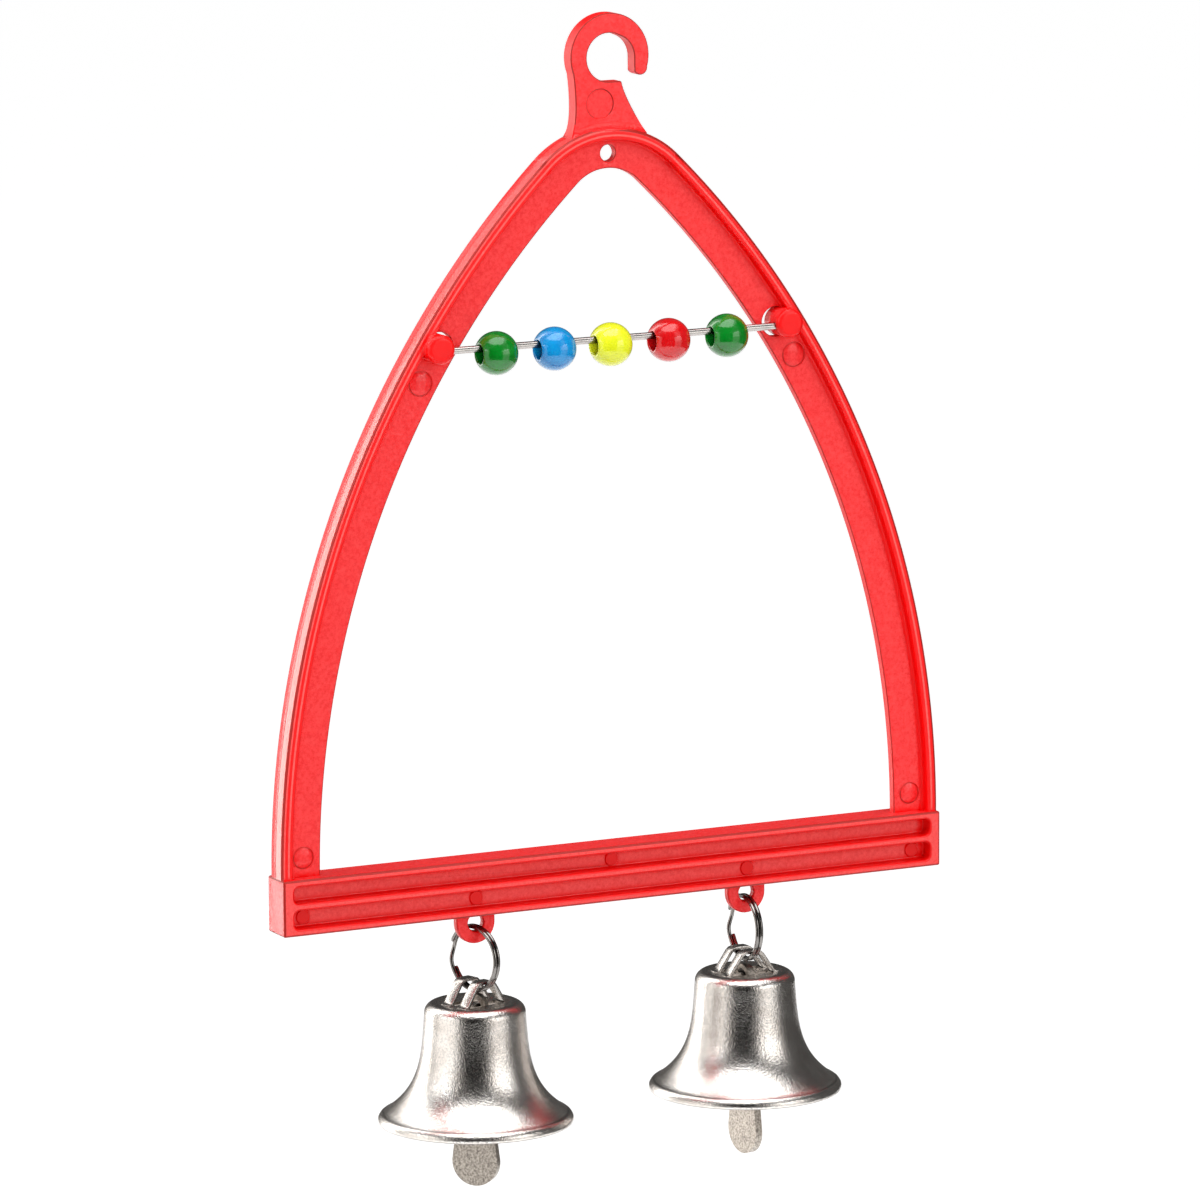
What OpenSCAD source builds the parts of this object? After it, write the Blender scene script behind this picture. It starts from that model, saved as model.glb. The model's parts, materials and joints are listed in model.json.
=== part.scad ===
// Bird swing: a moulded arch with a hanging hook and a channelled perch bar,
// five loose beads on a steel wire and two bells on split rings.
// Origin at the centre of the hook's eye, X to the right, Y to the back, Z up.

/* [Arch] */
// Width over the legs, which is also the length of the perch bar
swing_w = 134; // [100:1:180]
// Outer radius of each curved leg
leg_r = 176; // [140:1:240]
// Width of a leg seen from the front
leg_w = 8.4; // [6:0.1:12]
// Outer radius of the rounded top of the arch
apex_r = 19.5; // [14:0.1:30]
// Height of the arch at its rounded top
apex_web_h = 7.5; // [6.2:0.1:10]
// Thickness of the flat web
web_t = 1.7; // [1.2:0.1:3]
// Depth of the outer flange, front to back
flange_d = 5.4; // [4:0.1:7]
// Thickness of the outer flange
flange_t = 2.2; // [1.4:0.1:3]
// Rounding of the flange's outer edges
flange_round = 0.8; // [0.3:0.1:1]
// Size of the slope where the web meets the flange
web_slope = 0.45; // [0.2:0.05:0.8]
// Diameter of the hole below the hook
apex_hole_d = 3; // [1.5:0.1:3.2]
// Depth of that hole's centre below the top of the arch
apex_hole_drop = 4.75; // [4.3:0.05:5]

/* [Hook] */
// Height of the eye's centre above the top of the arch
eye_to_arch = 12.6; // [12:0.05:16]
// Thickness of the hook plate
hook_t = 3; // [2.4:0.1:3.6]
// Radius of the eye
eye_r = 4.4; // [3:0.05:5]
// Outer radius of the hook
hook_r = 7.85; // [7:0.05:9]
// How far the outer circle sits to the right of the eye
hook_shift_x = 0.2; // [0:0.05:0.6]
// How far the outer circle sits above the eye
hook_shift_z = 0.15; // [0:0.05:0.6]
// Radius of the rounded tip
tip_r = 1.35; // [1:0.05:2]
// Sideways place of the tip's rounding
tip_x = 6.4; // [5.6:0.1:6.6]
// Drop of the tip's rounding below the eye's centre
tip_drop = 2.15; // [1.8:0.05:2.6]
// Angle below the horizontal at which the mouth leaves the eye
mouth_angle = 24; // [15:1:30]
// Right end of the flat shoulder under the eye
shoulder_x = 2.5; // [1.6:0.1:3]
// Power of the curve of the neck's right side
neck_power = 1.3; // [1:0.05:2]
// Half width of the neck's foot on the right
neck_right_w = 8.1; // [7:0.1:12]
// Half width of the neck's foot on the left
neck_left_w = 8.1; // [7.6:0.1:12]
// Half width of the neck on the left, at its narrowest
neck_waist_w = 6.7; // [6:0.1:7.5]
// Drop of the place where the neck leaves the ring on the left
neck_top_drop = 2.5; // [1:0.1:4]
// Half width of the neck there
neck_top_w = 7.15; // [6.8:0.05:7.6]
// Drop of the narrowest place of the neck
neck_waist_drop = 8.6; // [7:0.1:10]
// Drop of the neck's foot
neck_foot_drop = 14.9; // [14.5:0.1:15.4]
// Height of the ramp round the hook's foot
collar_h = 1; // [0.4:0.1:1.4]

/* [Perch bar] */
// Height of the bar
bar_h = 10.3; // [8:0.1:14]
// Depth of the bar, front to back
bar_d = 7; // [6:0.1:10]
// Thickness of the top and bottom rims and of the middle rib
rim_t = 1.25; // [0.8:0.05:2]
// Height of the upper channel
upper_channel_h = 3.1; // [2.4:0.05:4]
// Thickness of the wall at each end of a channel
end_wall_t = 2.1; // [1.2:0.1:3]
// Rounding of the channel corners
channel_round = 1; // [0.4:0.1:1.4]
// Distance of each bell lug from the middle
lug_x = 27.7; // [24:0.1:40]
// Radius of a lug
lug_r = 3.85; // [3.2:0.05:5]
// Diameter of a lug's hole
lug_hole_d = 3.1; // [3:0.05:3.6]
// Drop of a lug's hole below the bar
lug_hole_drop = 1.7; // [1.4:0.1:2.4]

/* [Moulding marks] */
// Depth of the round marks
mark_depth = 0.2; // [0.1:0.05:0.3]
// Distance of the mark on the hook to the left of the eye
hook_mark_x = 1.85; // [0:0.05:3]
// Drop of the mark on the hook
hook_mark_drop = 8.3; // [7.5:0.1:9]
// Distance of the marks on the legs from the outer edge
leg_mark_inset = 5.05; // [4.8:0.05:5.4]
// Drop of the marks on the legs below the bosses
leg_mark_drop = 6.4; // [6:0.1:20]
// Height of the lowest marks above the perch bar
foot_mark_rise = 3.4; // [2.8:0.1:10]
// Diameter of the mark on the hook
hook_mark_d = 5.4; // [4:0.1:6]
// Diameter of the marks below the bosses
leg_mark_d = 4.8; // [4:0.1:5.2]
// Diameter of the marks above the perch bar
foot_mark_d = 4.2; // [3:0.1:5]
// Diameter of the pads in the channels
pad_d = 2.6; // [2:0.1:3]
// Height of the pads in the channels
pad_h = 0.3; // [0.2:0.05:0.5]
// Sideways place of the pad in the upper channel
upper_pad_x = 0.2; // [0:0.1:10]
// Distance of the outer pads in the lower channel from the end of the bar
end_pad_inset = 4.8; // [4:0.1:8]

/* [Wire and beads] */
// Diameter of the wire
wire_d = 1.3; // [1:0.1:2]
// Half the width of the arch's opening at the height of the wire
opening_at_wire = 30.03; // [29:0.01:34]
// Distance of the wire in front of the web's middle plane
wire_front = 3.07; // [2.8:0.01:3.4]
// Distance of each boss from the outer edge of its leg
boss_inset = 3.82; // [3.6:0.01:4.2]
// Height of a boss above the wire
boss_rise = 0.5; // [0:0.1:1]
// Diameter of a boss
boss_d = 5.4; // [4.6:0.1:6]
// How far a boss stands in front of the web's middle plane
boss_front = 4.9; // [4.4:0.1:5.4]
// Rounding of the front of a boss
boss_round = 0.9; // [0.4:0.1:1.2]
// Distance of the hole behind a boss from the outer edge of its leg
boss_hole_inset = 4.86; // [4.6:0.01:5.2]
// How deep the wire goes into a boss
wire_in = 2.3; // [1.6:0.1:3]
// Gap round the wire in its bosses
wire_fit = 0.05; // [0.02:0.01:0.1]
// Diameter of a bead
bead_d = 7.95; // [7:0.05:9]
// Diameter of a bead's hole
bead_bore_d = 3.4; // [2:0.1:4]
// Gap between the wire and the top of a bead's hole
bead_gap = 0.05; // [0.02:0.01:0.1]
// Rounding round the ends of a bead's hole
bead_lip = 0.3; // [0.1:0.05:0.5]
// Sideways places of the five beads, left to right
bead_xs = [-23.7, -12.1, -0.8, 10.95, 22.8];

/* [Split rings] */
// Radius of the coil, to the middle of its wire
coil_r = 5.9; // [5:0.1:7]
// Diameter of the coil's wire
coil_wire_d = 0.6; // [0.5:0.05:0.6]
// Distance between the two turns
coil_pitch = 1.02; // [1.02:0.01:1.2]
// Drop of the coil's wire below the centre of the lug's hole
coil_drop = 0.8; // [0.6:0.05:0.9]
// Turn of the left ring round the vertical
left_ring_turn = 17.6; // [-30:0.1:30]
// Turn of the right ring round the vertical
right_ring_turn = 0; // [-30:0.1:30]

/* [Bells] */
// Height of a bell's shell
bell_h = 22.4; // [18:0.1:28]
// Thickness of the sheet
sheet_t = 0.6; // [0.4:0.05:1]
// Radius of the flat crown
crown_r = 7.3; // [6.6:0.1:9]
// Rounding of the shoulder
shoulder_r = 2; // [1.2:0.1:3]
// Share of the height by which the body widens
body_slope_share = 0.07; // [0:0.01:0.2]
// Width that the flare adds at the full height
flare_w = 9.19; // [6:0.01:12]
// Power of the flare's curve
flare_power = 4.5; // [3:0.1:6]
// Radius at the rim
rim_r = 17.9; // [15:0.1:20]
// Height of the steep band at the rim
rim_band_h = 1.9; // [1:0.1:3]
// Gap between the straps and the coil that they hang on
seat_gap = 0.11; // [0.08:0.01:0.2]
// Outer radius of the strap arches
strap_r = 4.65; // [4.2:0.05:5]
// Width of a strap
strap_w = 1.7; // [1.2:0.1:2]
// Distance of each strap from the middle
strap_off = 2.1; // [2:0.05:2.3]
// Gap beside a strap in its slot
strap_gap = 0.1; // [0.05:0.01:0.2]
// Width of the bar between the slots, which carries the clapper
carrier_w = 1.6; // [1.2:0.1:2.2]

/* [Clappers] */
// Thickness of a clapper
clapper_t = 1.5; // [1:0.1:2]
// Radius of the clapper's round end
clapper_r = 4.45; // [3.6:0.05:5]
// Length from the eye's centre to the lowest point
clapper_len = 33.65; // [28:0.05:38]
// Slope of the clapper's sides
clapper_slope = 7.5; // [4:0.1:10]
// Half width of the clapper's neck
clapper_neck_w = 2.2; // [1.6:0.1:2.6]
// Radius of the hole in the clapper's eye
clapper_hole_r = 1.5; // [1.4:0.05:1.6]
// Outer radius of the clapper's eye
clapper_eye_r = 2.35; // [2.2:0.05:2.5]
// Gap between the clapper's eye and the bar that carries it
clapper_gap = 0.06; // [0.03:0.01:0.1]
// Turn of the left clapper from its ring
left_clapper_turn = 24.5; // [-25:0.1:25]
// Turn of the right clapper from its ring
right_clapper_turn = 7.6; // [-25:0.1:25]

/* [Hidden] */
$fn = 96;
// overrun of a cut past a face
over = 0.5;
half_w = swing_w / 2;
leg_cx = leg_r - half_w;
arch_top = -eye_to_arch;
apex_cz = arch_top - apex_r;
bar_top = apex_cz - sqrt(pow(leg_r - apex_r, 2) - pow(leg_cx, 2));
apex_a = atan2(apex_cz - bar_top, leg_cx);
inner_rise = (leg_w - apex_web_h) / (1 - sin(apex_a));
inner_r = apex_r - leg_w - inner_rise * sin(apex_a);
bar_bottom = bar_top - bar_h;
lug_hole_z = bar_bottom - lug_hole_drop;
wire_z = bar_top + sqrt(pow(leg_r - leg_w, 2) - pow(opening_at_wire + leg_cx, 2));
boss_z = wire_z + boss_rise;
leg_mark_z = boss_z - leg_mark_drop;
foot_mark_z = bar_top + foot_mark_rise;
lower_channel_h = bar_h - 3 * rim_t - upper_channel_h;
// steps of the neck's curves and power of its left side below the waist
neck_steps = 8;
foot_power = 2.5;
// share of the collar that lies inside the hook
collar_in_share = 1;
// lowest part of the rim that stands upright
rim_round_share = 0.6;
// angle by which a swept piece runs past the plane that trims it
end_lap = 1;
// steps and crossing of the coil
coil_cross = 16;
coil_cut = 24;
coil_count = 45;
bell_steps = 14;
bead_end = sqrt(pow(bead_d, 2) - pow(bead_bore_d, 2)) / 2;
boss_x = leg_x(boss_inset, boss_z);
wire_half = boss_x - boss_d / 2 + wire_in;
bead_z = wire_z - (bead_bore_d - wire_d) / 2 + bead_gap;
coil_z = lug_hole_z - coil_drop - coil_r;
strap_edge = strap_off + strap_w / 2;
crown_z = coil_z - sqrt(pow(coil_r - coil_wire_d / 2, 2) - pow(strap_edge, 2))
    + seat_gap - strap_r + 2 * sheet_t;
slot_w = strap_edge + strap_gap - carrier_w / 2;

// distance from the middle of a point inset from a leg's outer edge at height z
function leg_x(inset, z) = sqrt(pow(leg_r - inset, 2) - pow(z - bar_top, 2)) - leg_cx;

// a flat outline in X and Z, thickened from y0 back to y1
module plate(y0, y1) {
    translate([0, y1, 0]) rotate([90, 0, 0]) linear_extrude(y1 - y0) children();
}

// a shallow round mark sunk into a face that looks to the front
module mark(d) {
    rotate([-90, 0, 0]) translate([0, 0, -over]) cylinder(d = d, h = over + mark_depth);
}

// Cross-section of a leg, its outer edge at x = 0
module leg_section(depth_in) {
    translate([-depth_in, -web_t / 2]) square([depth_in - flange_t / 2, web_t]);
    translate([-flange_t, flange_round - flange_d / 2])
        square([flange_t, flange_d - 2 * flange_round]);
    translate([-flange_t, -flange_d / 2]) square([flange_t - flange_round, flange_d]);
    for (s = [-1, 1]) {
        translate([-flange_round, s * (flange_d / 2 - flange_round)]) circle(r = flange_round);
        polygon([[-flange_t - web_slope, s * web_t / 2], [-flange_t, s * (web_t / 2 + web_slope)],
            [-flange_t / 2, s * web_t / 2], [-flange_t, 0]]);
    }
}

// The right half of the arch. It is drawn turned, so that the seam between
// the leg and the rounded top lies on the line y = 0
module half_arch() {
    intersection() {
        translate([0, 0, apex_cz]) rotate([90, -apex_a, 0]) {
            translate([apex_r - leg_r, 0, 0]) mirror([0, 1, 0])
                rotate_extrude(angle = apex_a + end_lap, $fn = 360)
                    translate([leg_r, 0]) leg_section(leg_w);
            rotate_extrude(angle = 90 - apex_a + end_lap)
                translate([apex_r, 0]) leg_section(flange_t + web_slope + over);
            translate([0, 0, -web_t / 2]) linear_extrude(web_t) difference() {
                intersection() {
                    circle(r = apex_r - flange_t / 2);
                    square(apex_r);
                }
                translate([-over, -over]) square([over + apex_r - leg_w, over + inner_rise * cos(apex_a)]);
                translate([inner_rise * sin(apex_a), inner_rise * cos(apex_a)]) circle(r = inner_r);
            }
        }
        translate([0, -flange_d, bar_top]) cube([swing_w, 2 * flange_d, arch_top - bar_top]);
    }
}

// A boss for the wire, rounded at the front
module boss() {
    translate([boss_x, 0, boss_z]) {
        translate([0, boss_round - boss_front, 0]) rotate([-90, 0, 0])
            cylinder(d = boss_d, h = boss_front - boss_round + web_t / 2);
        translate([0, boss_round - boss_front, 0]) rotate([90, 0, 0]) {
            cylinder(d = boss_d - 2 * boss_round, h = boss_round);
            rotate_extrude() translate([boss_d / 2 - boss_round, 0])
                intersection() {
                    circle(r = boss_round);
                    square(boss_round);
                }
        }
    }
}

module arch() {
    color("red") difference() {
        union() {
            difference() {
                union() {
                    half_arch();
                    mirror([1, 0, 0]) half_arch();
                }
                for (s = [-1, 1]) translate([s * leg_x(boss_hole_inset, boss_z), 0, boss_z]) rotate([90, 0, 0])
                    cylinder(d = boss_d, h = web_t + 2 * over, center = true);
            }
            boss();
            mirror([1, 0, 0]) boss();
        }
        translate([0, -wire_front, wire_z]) rotate([0, 90, 0])
            cylinder(d = wire_d + 2 * wire_fit, h = 2 * (wire_half + wire_fit), center = true);
        translate([0, 0, arch_top - apex_hole_drop]) rotate([90, 0, 0])
            cylinder(d = apex_hole_d, h = web_t + 2 * over, center = true);
        for (s = [-1, 1]) {
            translate([s * leg_x(leg_mark_inset, leg_mark_z), -web_t / 2, leg_mark_z])
                mark(leg_mark_d);
            translate([s * leg_x(leg_mark_inset, foot_mark_z), -web_t / 2, foot_mark_z])
                mark(foot_mark_d);
        }
    }
}

// Right side of the neck from the shoulder down, at a share t of its height
function neck_right(t) = [shoulder_x + (neck_right_w - shoulder_x) * pow(t, neck_power),
    -eye_r - (neck_foot_drop - eye_r) * t];

// Left side of the neck, from the ring to the waist and from the waist to the foot
function neck_left_high(t) = [-neck_waist_w - (neck_top_w - neck_waist_w) * pow(1 - t, 2),
    -neck_top_drop - (neck_waist_drop - neck_top_drop) * t];
function neck_left_low(t) = [-neck_waist_w - (neck_left_w - neck_waist_w) * pow(t, foot_power),
    -neck_waist_drop - (neck_foot_drop - neck_waist_drop) * t];

// Plate of the hook: the ring, its neck and its mouth
module hook_outline() {
    difference() {
        union() {
            translate([hook_shift_x, hook_shift_z]) circle(r = hook_r);
            polygon([
                for (k = [0:neck_steps]) neck_left_high(k / neck_steps),
                for (k = [1:neck_steps]) neck_left_low(k / neck_steps),
                [0, apex_cz],
                for (k = [neck_steps:-1:0]) neck_right(k / neck_steps)
            ]);
        }
        circle(r = eye_r);
        polygon([
            [0, 0],
            eye_r * [cos(mouth_angle), -sin(mouth_angle)],
            [tip_x - tip_r * cos(45), -tip_drop - tip_r * sin(45)],
            [hook_r + over, -tip_drop],
            [hook_r + over, -neck_foot_drop],
            for (k = [neck_steps:-1:0]) neck_right(k / neck_steps),
            [0, -eye_r]
        ]);
        translate([0, apex_cz]) circle(r = apex_r, $fn = 360);
    }
    translate([tip_x, -tip_drop]) circle(r = tip_r);
}

// Ramp round the hook's foot, down to the edge of the flange's flat top
module collar() {
    ramp_w = flange_d / 2 - flange_round;
    ramp_in = (1 + collar_in_share) * (ramp_w - hook_t / 2);
    intersection() {
        plate(-ramp_w, ramp_w) hook_outline();
        translate([0, 0, apex_cz]) rotate([90, 0, 0]) rotate_extrude($fn = 360) polygon([
            [0, -ramp_w],
            [apex_r, -ramp_w],
            [apex_r + (1 + collar_in_share) * collar_h, ramp_in - ramp_w],
            [apex_r + (1 + collar_in_share) * collar_h, ramp_w - ramp_in],
            [apex_r, ramp_w],
            [0, ramp_w]
        ]);
    }
}

module hanging_hook() {
    color("red") difference() {
        union() {
            plate(-hook_t / 2, hook_t / 2) hook_outline();
            collar();
        }
        translate([-hook_mark_x, -hook_t / 2, -hook_mark_drop]) mark(hook_mark_d);
    }
}

// One channel of the perch bar with its rounded corners
module channel_outline(length, height) {
    square([length - 2 * channel_round, height], center = true);
    square([length, height - 2 * channel_round], center = true);
    for (s = [-1, 1], t = [-1, 1])
        translate([s * (length / 2 - channel_round), t * (height / 2 - channel_round)])
            circle(r = channel_round);
}

// Both channels of one side of the perch bar
module channels() {
    translate([0, bar_top - rim_t - upper_channel_h / 2])
        channel_outline(swing_w - 2 * end_wall_t, upper_channel_h);
    translate([0, bar_bottom + rim_t + lower_channel_h / 2])
        channel_outline(swing_w - 2 * end_wall_t, lower_channel_h);
}

module pad() {
    rotate([90, 0, 0]) cylinder(d = pad_d, h = web_t / 2 + pad_h);
}

module perch_bar() {
    color("red") difference() {
        union() {
            difference() {
                translate([-half_w, -bar_d / 2, bar_bottom]) cube([swing_w, bar_d, bar_h]);
                plate(-bar_d / 2 - over, -web_t / 2) channels();
                plate(web_t / 2, bar_d / 2 + over) channels();
            }
            plate(-web_t / 2, web_t / 2) for (s = [-1, 1]) {
                translate([s * lug_x, lug_hole_z]) circle(r = lug_r);
                translate([s * lug_x - lug_r, lug_hole_z]) square([2 * lug_r, lug_hole_drop + rim_t / 2]);
            }
            translate([-upper_pad_x, 0, bar_top - rim_t - upper_channel_h / 2]) pad();
            for (s = [-1, 1], x = [lug_x, half_w - end_pad_inset])
                translate([s * x, 0, bar_bottom + rim_t + lower_channel_h / 2]) pad();
        }
        for (s = [-1, 1]) translate([s * lug_x, 0, lug_hole_z]) rotate([90, 0, 0])
            cylinder(d = lug_hole_d, h = web_t + 2 * over, center = true);
    }
}

module bead_wire() {
    color("silver") translate([0, -wire_front, wire_z]) rotate([0, 90, 0])
        cylinder(d = wire_d, h = 2 * wire_half, center = true);
}

// One round bead with softened ends of its hole
module bead(x) {
    translate([x, -wire_front, bead_z]) rotate([0, 90, 0]) difference() {
        sphere(d = bead_d);
        cylinder(d = bead_bore_d, h = bead_d + 2 * over, center = true);
        for (s = [0, 1]) mirror([0, 0, s])
            translate([0, 0, bead_end - bead_lip])
                cylinder(d1 = bead_bore_d, d2 = bead_bore_d + 4 * bead_lip, h = 2 * bead_lip);
    }
}

module bead_1_green() { color("green") bead(bead_xs[0]); }
module bead_2_blue() { color("skyblue") bead(bead_xs[1]); }
module bead_3_yellow() { color("yellow") bead(bead_xs[2]); }
module bead_4_red() { color("crimson") bead(bead_xs[3]); }
module bead_5_green() { color("green") bead(bead_xs[4]); }

// Middle line of the coil in the plane X = 0; the turns cross over at the back
function coil_shift(a) = coil_pitch / 2 *
    (a < 360 - coil_cross ? -1 : a > 360 + coil_cross ? 1 : sin(90 * (a - 360) / coil_cross));
function coil_point(a) = [coil_shift(a), coil_r * cos(a), coil_r * sin(a)];
function unit(v) = v / norm(v);
function coil_ring(a) = let (
    out = [0, cos(a), sin(a)],
    side = unit(cross(coil_point(a + 1) - coil_point(a - 1), out))
) [for (k = [0:5]) coil_point(a) + coil_wire_d / 2 * (cos(60 * k) * out + sin(60 * k) * side)];
coil_steps = [for (k = [0:coil_count]) coil_cut + k * (720 - 2 * coil_cut) / coil_count];
coil_gap = min([for (i = [0:coil_count], j = [0:coil_count])
    if (j > i + 8) norm(coil_point(coil_steps[i]) - coil_point(coil_steps[j]))]) - coil_wire_d;
echo(least_gap_of_coil_to_itself = coil_gap);

// A split ring: two turns of wire in one unbroken tube
module coil() {
    polyhedron(
        points = [for (a = coil_steps) each coil_ring(a)],
        faces = [
            for (i = [0:coil_count - 1], k = [0:5])
                each [[6 * i + k, 6 * i + (k + 1) % 6, 6 * i + 6 + k],
                    [6 * i + (k + 1) % 6, 6 * i + 6 + (k + 1) % 6, 6 * i + 6 + k]],
            for (k = [1:4]) [0, k + 1, k],
            for (k = [1:4]) [6 * coil_count, 6 * coil_count + k, 6 * coil_count + k + 1]
        ]);
}

module split_ring_left() {
    color("silver") translate([-lug_x, 0, coil_z]) rotate([0, 0, left_ring_turn]) coil();
}

module split_ring_right() {
    color("silver") translate([lug_x, 0, coil_z]) rotate([0, 0, right_ring_turn]) coil();
}

// Outer radius of the bell at a drop below its crown, and the wall's width there
function bell_radius(d) = body_r + body_slope_share * d + flare_w * pow(d / bell_h, flare_power);
function bell_wall(d) = sheet_t * sqrt(1 + pow(body_slope_share
    + flare_w * flare_power / bell_h * pow(d / bell_h, flare_power - 1), 2));
body_r = crown_r + shoulder_r * (1 - body_slope_share);
band_top = bell_h - rim_band_h;
bell_drops = [for (k = [1:bell_steps]) shoulder_r + (band_top - shoulder_r) * pow(k / bell_steps, 0.7)];

module bell_section() {
    polygon([
        [0, 0],
        for (a = [0:15:90]) [crown_r + shoulder_r * sin(a), shoulder_r * (cos(a) - 1)],
        for (d = bell_drops) [bell_radius(d), -d],
        [rim_r, -bell_h + rim_band_h * rim_round_share],
        [rim_r, -bell_h],
        [rim_r - sheet_t, -bell_h],
        [rim_r - sheet_t, -bell_h + rim_band_h * rim_round_share],
        for (k = [bell_steps - 1:-1:0])
            [bell_radius(bell_drops[k]) - bell_wall(bell_drops[k]), -bell_drops[k]],
        for (a = [90:-15:0])
            [crown_r + (shoulder_r - sheet_t) * sin(a), (shoulder_r - sheet_t) * cos(a) - shoulder_r],
        [0, -sheet_t]
    ]);
}

// One bell: shell, two slots in its crown and the two straps raised out of them
module bell() {
    difference() {
        rotate_extrude($fn = 180) bell_section();
        for (s = [-1, 1]) translate([0, s * (carrier_w + slot_w) / 2, 0])
            cube([2 * (strap_r - sheet_t), slot_w, 4 * sheet_t], center = true);
    }
    for (s = [-1, 1]) translate([0, s * strap_off, 0]) difference() {
        translate([0, 0, -sheet_t]) rotate([90, 0, 0])
            cylinder(r = strap_r, h = strap_w, center = true);
        translate([0, 0, -sheet_t]) rotate([90, 0, 0])
            cylinder(r = strap_r - sheet_t, h = strap_w + 2 * over, center = true);
        translate([-strap_r - over, -strap_w, -sheet_t - strap_r - over])
            cube([2 * (strap_r + over), 2 * strap_w, strap_r + over]);
    }
}

module bell_left() {
    color("lightgray") translate([-lug_x, 0, crown_z]) rotate([0, 0, left_ring_turn]) bell();
}

module bell_right() {
    color("lightgray") translate([lug_x, 0, crown_z]) rotate([0, 0, right_ring_turn]) bell();
}

// How far the eye's centre hangs below the middle of the carrier bar at a given turn
function eye_drop(turn) = sqrt(pow(clapper_hole_r - clapper_gap, 2)
    - pow(carrier_w / 2 / cos(turn) + clapper_t / 2 * tan(abs(turn)), 2)) - sheet_t / 2;

// A flat stamped clapper, its eye's centre at the origin
module clapper() {
    end_z = clapper_r - clapper_len;
    side_x = clapper_r * cos(clapper_slope);
    side_z = end_z + clapper_r * sin(clapper_slope);
    neck_z = side_z + (side_x - clapper_neck_w) / tan(clapper_slope);
    rotate([90, 0, 90]) translate([0, 0, -clapper_t / 2]) linear_extrude(clapper_t) difference() {
        union() {
            circle(r = clapper_eye_r);
            translate([0, end_z]) circle(r = clapper_r);
            polygon([[-clapper_neck_w, 0], [-clapper_neck_w, neck_z], [-side_x, side_z], [0, end_z],
                [side_x, side_z], [clapper_neck_w, neck_z], [clapper_neck_w, 0]]);
        }
        circle(r = clapper_hole_r);
    }
}

module clapper_left() {
    color("gray") translate([-lug_x, 0, crown_z - sheet_t / 2 - eye_drop(left_clapper_turn)])
        rotate([0, 0, left_ring_turn + left_clapper_turn]) clapper();
}

module clapper_right() {
    color("gray") translate([lug_x, 0, crown_z - sheet_t / 2 - eye_drop(right_clapper_turn)])
        rotate([0, 0, right_ring_turn + right_clapper_turn]) clapper();
}

hanging_hook();
arch();
perch_bar();
bead_wire();
bead_1_green();
bead_2_blue();
bead_3_yellow();
bead_4_red();
bead_5_green();
split_ring_left();
split_ring_right();
bell_left();
bell_right();
clapper_left();
clapper_right();
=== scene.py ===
"""Bird swing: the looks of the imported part. All lengths are in millimetres until a mesh is made."""

import json
import math

import bmesh
import bpy
from mathutils import Matrix, Vector


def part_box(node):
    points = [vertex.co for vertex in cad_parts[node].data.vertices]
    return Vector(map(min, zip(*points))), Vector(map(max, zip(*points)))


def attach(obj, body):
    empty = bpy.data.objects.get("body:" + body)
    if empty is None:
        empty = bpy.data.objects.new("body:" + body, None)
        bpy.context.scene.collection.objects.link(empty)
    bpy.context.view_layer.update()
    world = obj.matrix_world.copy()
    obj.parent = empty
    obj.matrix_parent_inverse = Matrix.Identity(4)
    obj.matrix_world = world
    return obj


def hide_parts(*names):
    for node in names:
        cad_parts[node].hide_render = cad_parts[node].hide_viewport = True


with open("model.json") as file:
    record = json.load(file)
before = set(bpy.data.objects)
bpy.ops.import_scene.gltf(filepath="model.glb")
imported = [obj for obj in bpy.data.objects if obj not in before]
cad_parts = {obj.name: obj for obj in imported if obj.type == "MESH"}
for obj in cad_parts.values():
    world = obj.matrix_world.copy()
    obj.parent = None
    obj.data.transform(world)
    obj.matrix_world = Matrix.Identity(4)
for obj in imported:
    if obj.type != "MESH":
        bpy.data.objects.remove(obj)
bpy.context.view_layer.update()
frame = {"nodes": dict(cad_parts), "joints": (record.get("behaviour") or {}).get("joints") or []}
MM = 0.001
WELD, BOOLEAN_WELD, ON_AXIS = 1e-4, 1e-3, 1e-6  # points nearer than this are one
BOTH = (-1, 1)  # left and right, or front and back
NODES = frame["nodes"]
JOINTS = {j["name"]: j for j in frame["joints"]}
scene = bpy.context.scene


# ---------------------------------------------------------------- places read from the frame
def box_mm(node):
    low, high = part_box(node)
    return low / MM, high / MM


def joint_place(name):
    """A joint's place and the direction of its axis."""
    j = JOINTS[name]
    return Vector(j["pos_m"]) / MM, Vector(j["axis"])


arch_low, arch_high = box_mm("arch")
bar_high = box_mm("perch_bar")[1]
ARCH_TOP, BAR_TOP = arch_high.z, arch_low.z
HALF_W, BAR_FRONT = bar_high.x, bar_high.y
FLANGE_FRONT, BOSS_FRONT = arch_high.y, -arch_low.y
BAR_H = 10.3
BAR_BOTTOM = BAR_TOP - BAR_H


# ---------------------------------------------------------------- mesh helpers
def soften(ob, angle=35.0):
    """Smooth shading, with edges sharper than the angle kept sharp."""
    ob.data.polygons.foreach_set("use_smooth", [True] * len(ob.data.polygons))
    ob.data.set_sharp_from_angle(angle=math.radians(angle))


def mesh_object(name, bm, smooth_angle=35.0):
    """An object in metres from a mesh in millimetres."""
    me = bpy.data.meshes.new(name)
    bm.to_mesh(me)
    bm.free()
    me.transform(Matrix.Scale(MM, 4))
    ob = bpy.data.objects.new(name, me)
    scene.collection.objects.link(ob)
    soften(ob, smooth_angle)
    return ob


def in_millimetres(mesh):
    bm = bmesh.new()
    bm.from_mesh(mesh)
    for v in bm.verts:
        v.co /= MM
    return bm


def arc(cx, cy, r, a0, a1, steps):
    """Points of an arc from angle a0 to angle a1, in degrees."""
    angles = [math.radians(a0 + (a1 - a0) * k / steps) for k in range(steps + 1)]
    return [(cx + r * math.cos(a), cy + r * math.sin(a)) for a in angles]


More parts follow.
